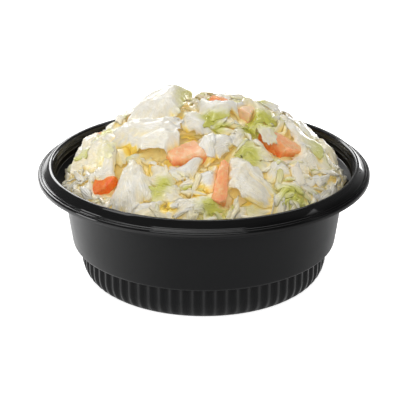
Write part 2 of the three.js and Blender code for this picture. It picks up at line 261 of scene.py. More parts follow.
carrotFinish = {
    "filmPlaces": (0.32, 0.48, 0.6, 0.72),
    "film": ((0.95, 0.14, 0.003), (0.99, 0.25, 0.02), (1.0, 0.45, 0.16), (1.0, 0.7, 0.45)),
    "filmScale": 330.0,
    # cream: the dressing's colour, also used as painted highlight on the upper faces
    "creamAndHighlight": (1.0, 0.66, 0.4),
    "creamHighlightShift": (0.3, 0.09),  # how much more film a creamy piece has, less what all lose
    "grainScale": 700.0,
    "filmRelief": 2.5,
    "relief": (0.6, 0.0006),
    "shader": {
        "Roughness": 0.4, "Subsurface Weight": 0.5, "Subsurface Radius": (1.0, 0.4, 0.15),
        "Subsurface Scale": 0.0012, "Coat Weight": 0.5, "Coat Roughness": 0.15,
    },
}


def carrotFlesh():
    # wet carrot: orange flesh with a paler film where the dressing clings, and paler and creamier by the
    # attribute cream, which is the dressing's cream together with a painted highlight on the upper faces
    look = carrotFinish
    material, tree, shader = newMaterial("carrotFlesh", look["shader"])
    place = tree.nodes.new("ShaderNodeTexCoord").outputs["Object"]
    film = cloudy(tree, place, look["filmScale"], 5.0, Roughness=0.7)
    creamHighlight = readAttribute(tree, "creamAndHighlight")
    more, less = look["creamHighlightShift"]
    paler = calculate(tree, "SUBTRACT", calculate(tree, "MULTIPLY_ADD", creamHighlight, more, film), less)
    flesh = rampColour(tree, paler, look["filmPlaces"], look["film"])
    setInput(tree, shader.inputs["Base Color"], mixColours(tree, creamHighlight, flesh, look["creamAndHighlight"]))
    grain = cloudy(tree, place, look["grainScale"], 4.0)
    addRelief(tree, shader, calculate(tree, "MULTIPLY_ADD", film, look["filmRelief"], grain), *look["relief"])
    return material


bowl = {
    "lipRadius": 73.0,
    "bandRadius": 54.95,
    "ribs": 72,
    "ribDepth": 0.85,
    "stepsPerRib": 6,
    "underRimGloss": 0.08,
    "crestGloss": 0.7,
    "insideGloss": 0.02,
    "seatRings": (44.35, 46.8, 48.8),  # levels of the edges on the lid seat that catch the light
    "seatFoot": 41.6,  # level of the one below the seat
    "seatGloss": 0.9,
    # painted sheen: lip and wall glossier on one side only, so that side catches more light
    "lipGloss": (0.1, 1.0, 205),  # everywhere, added on one side, and the angle of that side
    "wallSheen": (0.27, 190),  # on one side, and the angle of that side
    "ribGloss": 0.4,
}


def roundedLine(corners):
    # a line through (radius, level, fillet) corners, each corner replaced by a quadratic arc
    # between the points one fillet before and after it, with fewer points where the fillet is small
    line = []
    corners = np.asarray(corners, float)
    for i, (r, z, fillet) in enumerate(corners):
        here = np.array([r, z])
        if fillet == 0 or i in (0, len(corners) - 1):
            line.append(here[None])
            continue
        before, after = corners[i - 1, :2] - here, corners[i + 1, :2] - here
        reach = min(fillet, 0.45 * np.hypot(*before), 0.45 * np.hypot(*after))
        a = here + before / np.hypot(*before) * reach
        b = here + after / np.hypot(*after) * reach
        t = np.linspace(0, 1, 3 if fillet < 0.2 else 5)[:, None]
        line.append((1 - t) ** 2 * a + 2 * t * (1 - t) * here + t * t * b)
    return np.vstack(line)


def bowlProfile():
    # outside from the middle of the base to the lip, then inside from the lip to the middle of the floor
    lip, band = bowl["lipRadius"], bowl["bandRadius"]
    heelTurns, innerTurns = np.radians([20, 35, 50, 62, 74, 83]), np.radians([78, 60, 42, 24, 8])
    heel = [(48.9 + (band - 48.9) * np.sin(a), 9 - 9 * np.cos(a), 0) for a in heelTurns]
    inner = [(47.6 + 5.6 * np.sin(a), 9.5 - 7.5 * np.cos(a), 0) for a in innerTurns]
    outside = [
        (0, 1.0, 0), (29.6, 1.0, 0.2), (30.0, 0.75, 0.2), (30.8, 0.75, 0.2), (31.2, 1.0, 0.2),
        (44.4, 1.0, 0.5), (45.3, 0, 0.3), (48.9, 0, 0.9), *heel,
        *[(band, z, 0) for z in (9.5, 11.5, 13.2, 14.0, 14.5, 15.0)],
        (band, 15.7, 0.3), (58.2, 15.9, 0.3), (58.75, 16.6, 0.5), (59.4, 21.0, 0), (60.4, 29.0, 0),
        (61.9, 41.2, 1.2), (63.2, 42.1, 0.8), (66.1, 43.9, 0.8), (66.85, 50.0, 0.8), (67.5, 51.1, 0.6),
        (70.6, 48.5, 0.5), (71.9, 47.7, 0.4), (72.1, 46.4, 0.15), (lip, 46.4, 0.15),
    ]
    inside = [
        (lip, 47.9, 0.5), (72.5, 48.45, 0.2), (72.1, 48.5, 0.1), (71.95, 48.3, 0.1), (71.7, 48.35, 0.1),
        (71.55, 48.75, 0.1), (71.1, 48.95, 0.1), (70.95, 48.75, 0.1), (70.75, 48.85, 0.1),
        (70.6, 49.25, 0.15), (68.7, 51.35, 0.5), (68.0, 51.95, 0.4), (67.0, 51.95, 0.5), (66.3, 51.3, 0.5),
        (65.95, 50.2, 0.5), (65.8, 48.95, 0), (65.55, 48.8, 0), (65.72, 48.5, 0),
        (65.58, 46.95, 0), (65.33, 46.8, 0), (65.5, 46.5, 0),
        (65.25, 44.4, 0.4), (64.9, 44.1, 0), (64.6, 43.95, 0), (62.4, 42.7, 0.5), (61.2, 41.3, 0.6),
        (60.2, 35.0, 0), (59.0, 26.0, 0), (57.85, 17.4, 0.4), (53.6, 16.6, 0.4), (53.2, 15.5, 0.3),
        *inner, (44.0, 2.0, 1.0), (30.0, 1.95, 0), (0, 1.9, 0),
    ]
    return roundedLine(outside), roundedLine(inside)


def turnedBowl():
    # each profile point (r, z) goes to (r cos a, r sin a, z); on the outside of the band r is lessened
    # by depth x (1 - crest(a)), where crest(a) is a smooth bump at each rib, fading at both ends. The gloss
    # is highest on the crest of the rim, on the rings of the lid seat and on one side of the lip; the extra
    # gloss on one side of the lip and of the wall is a painted sheen, where light is to catch them
    outside, inside = bowlProfile()
    line = np.vstack([outside, inside])
    onOutside = (np.arange(len(line)) < len(outside))[1:-1]
    turns = bowl["ribs"] * bowl["stepsPerRib"]
    angle = np.arange(turns) * 2 * np.pi / turns
    r, z = line[1:-1].T
    wave = 0.5 + 0.5 * np.cos(angle * bowl["ribs"])
    fade = smooth(0.8, 4.2, z) * (1 - smooth(14.1, 15.0, z)) * onOutside * (r > 47)
    radius = r[:, None] - bowl["ribDepth"] * fade[:, None] * (1 - smooth(0.2, 0.85, wave))[None]
    levels = np.repeat(z[:, None], turns, 1)
    points = np.stack([radius * np.cos(angle), radius * np.sin(angle), levels], -1).reshape(-1, 3)
    points = np.vstack([points, [0, 0, line[0, 1]], [0, 0, line[-1, 1]]])

    edges = sum(np.exp(-((z - level) / 0.16) ** 2) for level in bowl["seatRings"]) * (r > 64.95)
    edges = edges + np.exp(-((z - bowl["seatFoot"]) / 0.3) ** 2) * (r < 62)
    onRim = np.where(onOutside, smooth(41.5, 44.0, z), smooth(42.0, 44.0, z))
    within = bowl["insideGloss"] + bowl["seatGloss"] * edges * (r > 60)
    within = np.where((r > 67) | (z > 49.5), bowl["crestGloss"], within)
    gloss = np.where(onOutside, bowl["underRimGloss"] * onRim, within)[:, None]
    # painted sheen: the lip and the wall get more coat on one side, where light is to catch them
    least, more, side = bowl["lipGloss"]
    onSide = least + more * smooth(-0.3, 0.8, np.cos(angle - np.radians(side)))
    onLip = ((r > 70.3) & (z < 49.4))[:, None]
    sheen, side = bowl["wallSheen"]
    sheen = sheen * smooth(0.3, 1.0, np.cos(angle - np.radians(side))) * (onOutside & (z > 15.7))[:, None]
    gloss = sheen + gloss * np.where(onLip, onSide, 1.0)
    gloss = gloss + bowl["ribGloss"] * fade[:, None] * smooth(0.7, 1.0, wave)[None]
    attributes = {"gloss": gloss, "rim": np.repeat(onRim[:, None], turns, 1)}
    attributes = {name: np.concatenate([values.ravel(), [0, 0]]) for name, values in attributes.items()}
    return points, *ringFaces(len(r), turns), None, attributes


addPiece(makeMesh("bowl_shell", *turnedBowl()), bowlPlastic(), "bowl_plastic", "bowl")
print("bowl made")


# all lengths of the heap are in millimetres, as in the solid
heap = {
    "radius": 62.0,
    "edge": 41.0,
    "rise": 33.5,
    "fullness": 0.75,
    "hills": ((2.2, -13, 4, 160), (2.4, 27, 4, 190), (1.6, -6, 34, 260)),  # height, x, y and spread
    "coreDrop": 4.2,  # the core's depth under the leaves
    "frontBank": 5.0,
    "cell": 0.5,  # size of the map's cells
    "reach": 68.0,  # half its side
}


def heapLevel(x, y):
    # dome (1 - r^2/R^2)^fullness with low hills and slow waves added
    part = np.minimum(1, (x * x + y * y) / heap["radius"] ** 2)
    dome = (1 - part) ** heap["fullness"]
    hills = sum(high * np.exp(-((x - hx) ** 2 + (y - hy) ** 2) / wide)
                for high, hx, hy, wide in heap["hills"])
    swelling = hills + 0.7 * np.sin(x / 7.5 + 1) * np.cos(y / 8.5)
    return heap["edge"] + heap["rise"] * dome + swelling * np.minimum(1, dome * 3)


def heapNormal(x, y):
    # from the slopes of the heap 1.5 mm each way
    step = 1.5
    dx = (heapLevel(x + step, y) - heapLevel(x - step, y)) / (2 * step)
    dy = (heapLevel(x, y + step) - heapLevel(x, y - step)) / (2 * step)
    normal = np.array([-dx, -dy, 1.0])
    return normal / np.linalg.norm(normal)


def turnAbout(axis, degrees):
    # rotation matrix about the local x, y or z axis
    c, s = np.cos(np.radians(degrees)), np.sin(np.radians(degrees))
    i, j = {"x": (1, 2), "y": (2, 0), "z": (0, 1)}[axis]
    matrix = np.eye(3)
    matrix[i, i] = matrix[j, j] = c
    matrix[i, j], matrix[j, i] = -s, s
    return matrix


def layingTurn(normal, heading, lift, roll):
    # columns along, sideways and normal: length along the heading, one end lifted, rolled about its length
    along = np.array([np.cos(np.radians(heading)), np.sin(np.radians(heading)), 0.0])
    along -= normal * along.dot(normal)
    along /= np.linalg.norm(along)
    basis = np.stack([along, np.cross(normal, along), normal], 1)
    return basis @ turnAbout("y", -lift) @ turnAbout("x", roll)


def wallLimit(z):
    # largest radius that a piece may reach at a level, just inside the bowl
    return np.interp(z, [2, 9.5, 16.8, 17.6, 41.0, 42.9, 44.6, 50.2, 52.2, 53.0],
                     [47.0, 52.6, 52.7, 57.2, 60.5, 62.0, 64.8, 65.4, 66.4, 67.5])


def wantedLevel(x, y):
    # the heap's level, raised near the wall on the camera's side where leaves lean on the bowl
    r = np.hypot(x, y)
    return heapLevel(x, y) + heap["frontBank"] * smooth(51, 60, r) * smooth(2, -22, y)


# the pile is a level map that each piece is laid on and then raises
cells = int(2 * heap["reach"] / heap["cell"]) + 1
gridLine = np.linspace(-heap["reach"], heap["reach"], cells)
mapX, mapY = np.meshgrid(gridLine, gridLine, indexing="ij")
pile = wantedLevel(mapX, mapY) - heap["coreDrop"]
keepOut = np.zeros_like(pile, bool)  # big smooth leaves, which no random piece may cross
keepMap = np.zeros_like(pile)  # tops of the carrots
carrotFloor = np.full_like(pile, 200.0)  # level that leaves stay under, so that the carrots show


def cellOf(x, y):
    # the map's nearest row and column to x, y
    i = np.clip(np.rint((x + heap["reach"]) / heap["cell"]).astype(int), 0, cells - 1)
    j = np.clip(np.rint((y + heap["reach"]) / heap["cell"]).astype(int), 0, cells - 1)
    return i, j


def blended(grid, i, j, a, b):
    # bilinear: the four values around a place, each weighted by how near it is
    return ((1 - a) * (1 - b) * grid[i, j] + a * (1 - b) * grid[i + 1, j]
            + (1 - a) * b * grid[i, j + 1] + a * b * grid[i + 1, j + 1])


def sampleMap(levels, x, y):
    # the map's level at x, y
    fx = np.clip((x + heap["reach"]) / heap["cell"], 0, cells - 1.001)
    fy = np.clip((y + heap["reach"]) / heap["cell"], 0, cells - 1.001)
    i, j = fx.astype(int), fy.astype(int)
    return blended(levels, i, j, fx - i, fy - j)


def finer(grid, times=3):
    # the grid read at times as many places along each side
    rows, columns = grid.shape
    r = np.linspace(0, rows - 1.0001, rows * times)[:, None]
    c = np.linspace(0, columns - 1.0001, columns * times)[None]
    i, j = r.astype(int), c.astype(int)
    return blended(grid, i, j, r - i, c - j)


def softened(grid, rounds):
    # repeated mean of each value and its four neighbours, edges repeated
    for _ in range(rounds):
        wide = np.pad(grid, 1, mode="edge")
        grid = 0.4 * grid + 0.15 * (wide[2:, 1:-1] + wide[:-2, 1:-1] + wide[1:-1, 2:] + wide[1:-1, :-2])
    return grid


def raiseMap(levels, x, y, z):
    # sets each cell under the grid of points to the highest of them
    i, j = cellOf(finer(x), finer(y))
    np.maximum.at(levels, (i.ravel(), j.ravel()), finer(z).ravel())


# step is the mesh size, edge how square the border's section is, border how close the outer rows lie
kinds = {
    "rib": {"step": 1.2, "edge": 6.0, "border": 0.3},
    "leaf": {"step": 1.1, "edge": 6.0, "border": 0.2},
    "heart": {"step": 1.1, "edge": 5.0, "border": 0.2},
    "shred": {"step": 0.9, "edge": 6.0, "border": 0.1},
    "chip": {"step": 0.85, "edge": 6.0, "border": 0.2},
}
usual = {
    "corner": 0.5, "ragged": 0.08, "notches": 2, "cut": 0.16, "taper": 0.0, "sweep": 0.0,
    "bend": 1.0, "cup": 1.0, "folds": (), "wave": 0.8, "pucker": 0.16, "ruffle": 0.3,
    "ridges": 0, "ridge": 0.22, "fan": 0.3, "thin": 0.2, "settle": 0.6, "lift": 0.0, "roll": 0.0,
    "avoid": True, "cross": 0.05, "reach": 67.0, "sink": 0.5, "free": 0.45, "stick": 0.9, "merge": 0.3,
    "yield": 0.9, "over": False, "most": 1.2, "clear": False,
    # warm: painted warm shade that grows towards one side of a piece
    "green": 0.0, "greenFrom": -0.7, "warm": 0.0, "shade": 0.5,
}
laying = {
    "grip": 0.35,  # share of the way to the border from where a piece clings
    "farthest": 3.5,  # the most that clinging moves a point up or down
    "gap": 0.08,  # room that a piece keeps from what is under it
    "apart": 0.8,  # share of its half thickness that a clinging border keeps
    "reach": (62.5, 6),  # largest radius at the back, and how much more at the front
    "flatUnit": 20,  # millimetres along the piece for one unit of the flat map
}
jags = ((1.5, 0.9, 0), (2.5, 0.7, 1), (4.5, 0.55, 2), (7.5, 0.4, 3), (11.5, 0.3, 15))  # turns, size and phase
made = {kind: [] for kind in kinds}


def pieceSurface(shape, draw):
    # middle surface over u along and v across, both from -1 to 1. Outline: a square drawn in at its corners,
    # sheared by four random corner shifts, its border pushed by |sin| of the turning angle and cut by
    # notches. Level: bend (1 - u^2) + cup (1 - v^2), less folds f (sqrt(d^2 + e) - sqrt e) along lines, plus
    # slow waves, fine puckers, a ruffle at the border and ridges that fan out along the piece
    length, width, near = shape["length"], shape["width"], shape["border"]
    rows = int(np.clip(round(length / shape["step"]), 6, 44)) + 1
    columns = int(np.clip(round(width / shape["step"]), 4, 38)) + 1
    s, t = np.linspace(-1, 1, rows), np.linspace(-1, 1, columns)
    u = (s * (1 + near - near * s * s))[:, None] * np.ones(columns)
    v = np.ones((rows, 1)) * (t * (1 + near - near * t * t))
    x = u * np.sqrt(1 - shape["corner"] * v * v / 2)
    y = v * np.sqrt(1 - shape["corner"] * u * u / 2)
    rim = np.maximum(np.abs(u), np.abs(v))
    turn = np.arctan2(y, x)
    phase = draw.uniform(0, 2 * np.pi, 16)
    bent = turn + 0.5 * np.sin(turn + phase[4]) + 0.3 * np.sin(2 * turn + phase[5])
    jagged = 1.4 - sum(size * np.abs(np.sin(turns * bent + phase[place])) for turns, size, place in jags)
    push = 1 + 1.6 * shape["ragged"] * rim ** 3 * jagged
    for _ in range(shape["notches"]):
        away = np.angle(np.exp(1j * (turn - draw.uniform(-np.pi, np.pi))))
        push = push - draw.uniform(0.05, 0.22) * rim ** 2 * np.exp(-(away / draw.uniform(0.08, 0.25)) ** 2)
    shift = draw.uniform(-1, 1, (2, 4)) * shape["cut"]
    a, b = (u + 1) / 2, (v + 1) / 2
    weights = np.stack([(1 - a) * (1 - b), a * (1 - b), (1 - a) * b, a * b])
    x = x * push + np.tensordot(shift[0], weights, 1)
    y = y * push * (1 - shape["taper"] * x) + np.tensordot(shift[1], weights, 1) + shape["sweep"] * x * x
    px, py = length / 2 * x, width / 2 * y

    level = shape["bend"] * (1 - u * u) + shape["cup"] * (1 - v * v)
    for side, way, place in shape["folds"]:
        line = np.cos(np.radians(way)) * u + np.sin(np.radians(way)) * v - place
        level = level - side * (np.sqrt(line * line + 0.012) - 0.11)
    slow = 0.45 * np.sin(2.3 * u + 1.3 * v + phase[6]) + 0.35 * np.sin(3.1 * v - 1.9 * u + phase[7])
    level = level + shape["wave"] * slow
    bow = 1.2 * np.sin(0.35 * px + phase[10]) + 1.2 * np.sin(0.3 * py + phase[8])
    fine = 1.2 - 1.5 * np.abs(np.sin(0.25 * px + 0.62 * py + bow + phase[8]))
    level = level + shape["pucker"] * (fine - 0.9 * np.abs(np.sin(0.55 * px - 0.3 * py + bow + phase[9])))
    turns = np.round(np.sqrt(length * width) * 0.4)
    ruffle = np.sin(turns * turn + phase[11] + 2.5 * np.sin(turn * 2 + phase[12]))
    level = level + shape["ruffle"] * rim ** 4 * ruffle * (0.6 + 0.4 * np.sin(turn + phase[6]))
    if shape["ridges"]:
        fan = v * (1 + shape["fan"] * u)
        ridge = shape["ridge"] * np.cos(np.pi * shape["ridges"] * fan + phase[13])
        level = level + ridge * (1 - 0.5 * rim ** 6)
    return u, v, rim, turn, px, py, level


def closedShell(middle, half):
    # both faces of a piece: the middle moved half a thickness along its normal each way, sharing the border
    rows, columns = half.shape
    normal = np.cross(np.gradient(middle, axis=0), np.gradient(middle, axis=1))
    normal /= np.linalg.norm(normal, axis=-1, keepdims=True) + 1e-9
    top = middle + normal * half[..., None]
    bottom = middle - normal * half[..., None]
    inner = np.zeros((rows, columns), bool)
    inner[1:-1, 1:-1] = True
    index = np.arange(rows * columns).reshape(rows, columns)
    under = index.copy()
    under[inner] = rows * columns + np.arange(inner.sum())
    upper = np.stack([index[:-1, :-1], index[1:, :-1], index[1:, 1:], index[:-1, 1:]], -1).reshape(-1, 4)
    lower = np.stack([under[:-1, :-1], under[:-1, 1:], under[1:, 1:], under[1:, :-1]], -1).reshape(-1, 4)
    return np.vstack([top.reshape(-1, 3), bottom[inner]]), np.vstack([upper, lower]), inner


def layPiece(kind, shape, seed):
    # lays a piece: turned to the slope under it, set down on the pile, or at the heap's own level where it
    # has a height above it, its border drawn down on what is under it except on its free side, lifted where
    # it would sink in, lowered where it would hide a carrot, and drawn in where it would cut the bowl
    shape = {**usual, **kinds[kind], **shape}
    draw = np.random.default_rng(seed)
    u, v, rim, turning, px, py, level = pieceSurface(shape, draw)
    half = shape["thick"] / 2 * np.sqrt(np.clip(1 - rim ** shape["edge"], 0, 1)) * (1 - shape["thin"] * u)
    x0, y0 = shape["x"], shape["y"]
    angle = np.radians(shape["heading"])
    fx = x0 + px * np.cos(angle) - py * np.sin(angle)
    fy = y0 + px * np.sin(angle) + py * np.cos(angle)
    sides = np.stack([np.ones(fx.size), fx.ravel() - x0, fy.ravel() - y0], 1)
    fit = np.linalg.lstsq(sides, sampleMap(pile, fx, fy).ravel(), rcond=None)[0]
    slope = np.array([-fit[1], -fit[2], 1.0])
    normal = slope / np.linalg.norm(slope) * shape["settle"] + heapNormal(x0, y0) * (1 - shape["settle"])
    normal /= np.linalg.norm(normal)
    turn = layingTurn(normal, shape["heading"], shape["lift"], shape["roll"])
    local = np.stack([px, py, level], -1) @ turn.T
    wx, wy, wz = local[..., 0] + x0, local[..., 1] + y0, local[..., 2]
    if shape["avoid"] and keepOut[cellOf(wx, wy)].mean() > shape["cross"]:
        return False
    if np.hypot(wx, wy).max() > shape["reach"]:
        return False
    under = sampleMap(pile, wx, wy)
    if "above" in shape:
        wz = wz + heapLevel(x0, y0) + shape["above"]
    else:
        wz = wz + np.quantile(under - wz, shape["sink"]) + shape["thick"] * 0.3
    freeWay = np.radians(shape.get("freeWay", draw.uniform(0, 360)))
    free = shape["free"] * smooth(0.1, 0.9, np.cos(turning - freeWay))
    hold = smooth(laying["grip"], 1.0, rim) * (1 - free)
    stick = shape["stick"] * hold
    merge = shape["merge"] * hold ** 3
    far, resting = laying["farthest"], under + laying["apart"] * half - merge
    wz = wz * (1 - stick) + np.clip(resting, wz - far, wz + far) * stick
    push = np.maximum(laying["gap"] + half - (wz - under), 0) * shape["yield"] * (1 - 2 * merge)
    change = softened(push, 2)
    for _ in range(2):
        change = np.maximum(softened(change, 1), push * 0.8)
    wz = wz + change
    if not shape["over"]:
        dip = np.maximum(wz + half - sampleMap(carrotFloor, wx, wy), 0)
        for _ in range(4):
            dip = np.maximum(softened(dip, 1), dip * 0.9)
        wz = wz - dip
    if "above" not in shape and np.quantile(wz - wantedLevel(wx, wy), 0.8) > shape["most"]:
        return False
    back, more = laying["reach"]
    limit = np.minimum(wallLimit(wz), back + more * smooth(4, -14, wy))
    inward = np.minimum(1, (limit - half) / (np.hypot(wx, wy) + 1e-9))
    wx, wy = wx * inward, wy * inward
    points, faces, inner = closedShell(np.stack([wx, wy, wz], -1), half)
    raiseMap(pile, wx, wy, wz + half * 0.9)
    if shape["clear"]:
        keepOut[cellOf(finer(wx), finer(wy))] = True
    uv = np.stack([u * shape["length"] / laying["flatUnit"], v * shape["width"] / laying["flatUnit"]], -1)
    uv = np.vstack([uv.reshape(-1, 2), uv[inner]])
    ways = [np.radians(shape.get(way, draw.uniform(0, 360))) for way in ("greenWay", "warmWay")]
    across = [np.cos(way) * u + np.sin(way) * v for way in ways]
    green = shape["green"] * smooth(shape["greenFrom"], 1.1, across[0])
    # painted shade: warmth growing towards one side of the piece
    warm = shape["warm"] * smooth(-0.6, 1.1, across[1])
    tints = [np.concatenate([tint.ravel(), tint[inner]]) for tint in (green, warm)]
    made[kind].append((points, faces, uv, *tints, np.full(len(points), shape["shade"])))
    return True


# x, y, heading, length, width, depth, how far it is raised, how creamy and how lit it looks (dressing and
# painted highlight), and what else differs
carrots = {
    "columns": ("x", "y", "heading", "length", "width", "depth", "raise", "creamAndHighlight"),
    "usual": {"lift": 0.0, "roll": 0.0, "taper": 0.2, "slant": 0.25},
    "rows": 25,
    "around": 36,
    "squareness": 0.25,
    "pieces": [
        (-41.5, -33, 5, 11, 7, 5, -0.9, 0.0, dict(taper=0.45, slant=0.3)),
        (-7.5, -33, 22, 15, 10, 6, -1.2, 0.62, dict(roll=-8, taper=-0.25, slant=-0.15)),
        (7.2, -46.5, 88, 21, 5.2, 5.5, 0, 0.48, dict(lift=4, taper=0.3, slant=-0.1)),
        (34.5, -17.5, 15, 15, 10.5, 6, -0.8, 0.55, dict(roll=-6, taper=0.35, slant=-0.6)),
        (6.5, 7, -5, 8, 6, 5.6, 0.4, 0.4, dict(lift=-6)),
        (18.5, -2, 66, 9, 5.5, 5, 0.4, 3.4, dict(taper=0.3, slant=0.2)),
        (-30, 24, 140, 15, 8, 6, -1, 0.2, {}),
        (12, 31, 20, 17, 7, 5, -0.8, 0.4, dict(lift=6)),
        (42, 24, 110, 14, 9, 6, -1, 0.1, {}),
        (-48, 12, 75, 13, 6.5, 5, -0.9, 0.5, {}),
        (-13, 47, -15, 16, 8, 5, -1, 0.3, {}),
        (25, 45, 165, 12, 8, 6, -1, 0.6, {}),
    ],
}


def carrotSurface(shape):
    # a bar over u along and the turning angle across: section |cos|^p, |sin|^p with small p, so nearly
    # square, tapering along, closing at both ends, its ends slanted by shearing x with y
    u = np.sin(np.linspace(-1, 1, carrots["rows"]) * np.pi / 2)
    angle = np.linspace(0, 2 * np.pi, carrots["around"], endpoint=False)
    cy, cz = (np.sign(c) * np.abs(c) ** carrots["squareness"] for c in (np.cos(angle), np.sin(angle)))
    close = 0.6 + 0.4 * np.clip(1 - np.abs(u) ** 24, 0, 1) ** 0.5
    u2, taper = u[:, None], shape["taper"]
    y = shape["width"] / 2 * cy * ((1 - taper * u - 0.08 * u * u) * close)[:, None]
    z = shape["depth"] / 2 * cz * ((1 - 0.5 * taper * u) * close)[:, None] * (1 - 0.15 * cy ** 2)
    x = shape["length"] / 2 * u2 * (1 - 0.1 * np.abs(cy * cz)) + shape["slant"] * u2 ** 2 * y
    return x, y, z + 0.03 * shape["length"] * (1 - u * u)[:, None]


def makeCarrots():
    # each bar laid as its solid is: turned to the heap, one end lifted, rolled, raised along the normal, its
    # faces roughened by |sin| waves. Leaves in front of it stay under a floor that falls by 0.3 for each
    # millimetre nearer
    material = carrotFlesh()
    for number, (*values, more) in enumerate(carrots["pieces"], 1):
        shape = {**carrots["usual"], **dict(zip(carrots["columns"], values)), **more}
        x, y, z = carrotSurface(shape)
        draw = np.random.default_rng(500 + number)
        phase = draw.uniform(0, 2 * np.pi, 6)
        y = y + 0.35 * np.abs(np.sin(x * 0.5 + phase[0])) + 0.2 * np.abs(np.sin(x * 1.1 + z + phase[1])) - 0.3
        rough = 0.3 * np.abs(np.sin(x * 0.6 + y * 0.5 + phase[2]))
        z = z + rough + 0.18 * np.abs(np.sin(y * 1.3 + phase[3])) - 0.25
        x0, y0 = shape["x"], shape["y"]
        normal = heapNormal(x0, y0)
        turn = layingTurn(normal, shape["heading"], shape["lift"], shape["roll"])
        centre = np.array([x0, y0, heapLevel(x0, y0)]) + normal * shape["raise"]
        points = np.stack([x, y, z], -1) @ turn.T + centre
        raiseMap(keepMap, points[..., 0], points[..., 1], points[..., 2])
        inside = points * 0.96 + centre * 0.04
        i, j = cellOf(finer(inside[..., 0]), finer(inside[..., 1]))
        for ahead in range(14):
            floor = centre[2] - 0.1 * shape["depth"] - 0.3 * heap["cell"] * ahead
            carrotFloor[i, j - ahead] = np.minimum(carrotFloor[i, j - ahead], floor)
        # painted highlight: paler towards the upper face, on top of the dressing's cream
        creamAndHighlight = shape["creamAndHighlight"] * (0.15 + 0.6 * smooth(-0.3, 0.5, z / shape["depth"]))
        creamAndHighlight = np.concatenate([creamAndHighlight.ravel(), [creamAndHighlight[0].mean(), creamAndHighlight[-1].mean()]])
        points = np.vstack([points.reshape(-1, 3), points[0].mean(0), points[-1].mean(0)])
        faces = ringFaces(*x.shape, turnedOver=True)
        piece = makeMesh(f"carrot_piece_{number}", points, *faces, attributes={"creamAndHighlight": creamAndHighlight})
        addPiece(piece, material, "carrot", f"carrot_{number}")


makeCarrots()
print("carrots made")


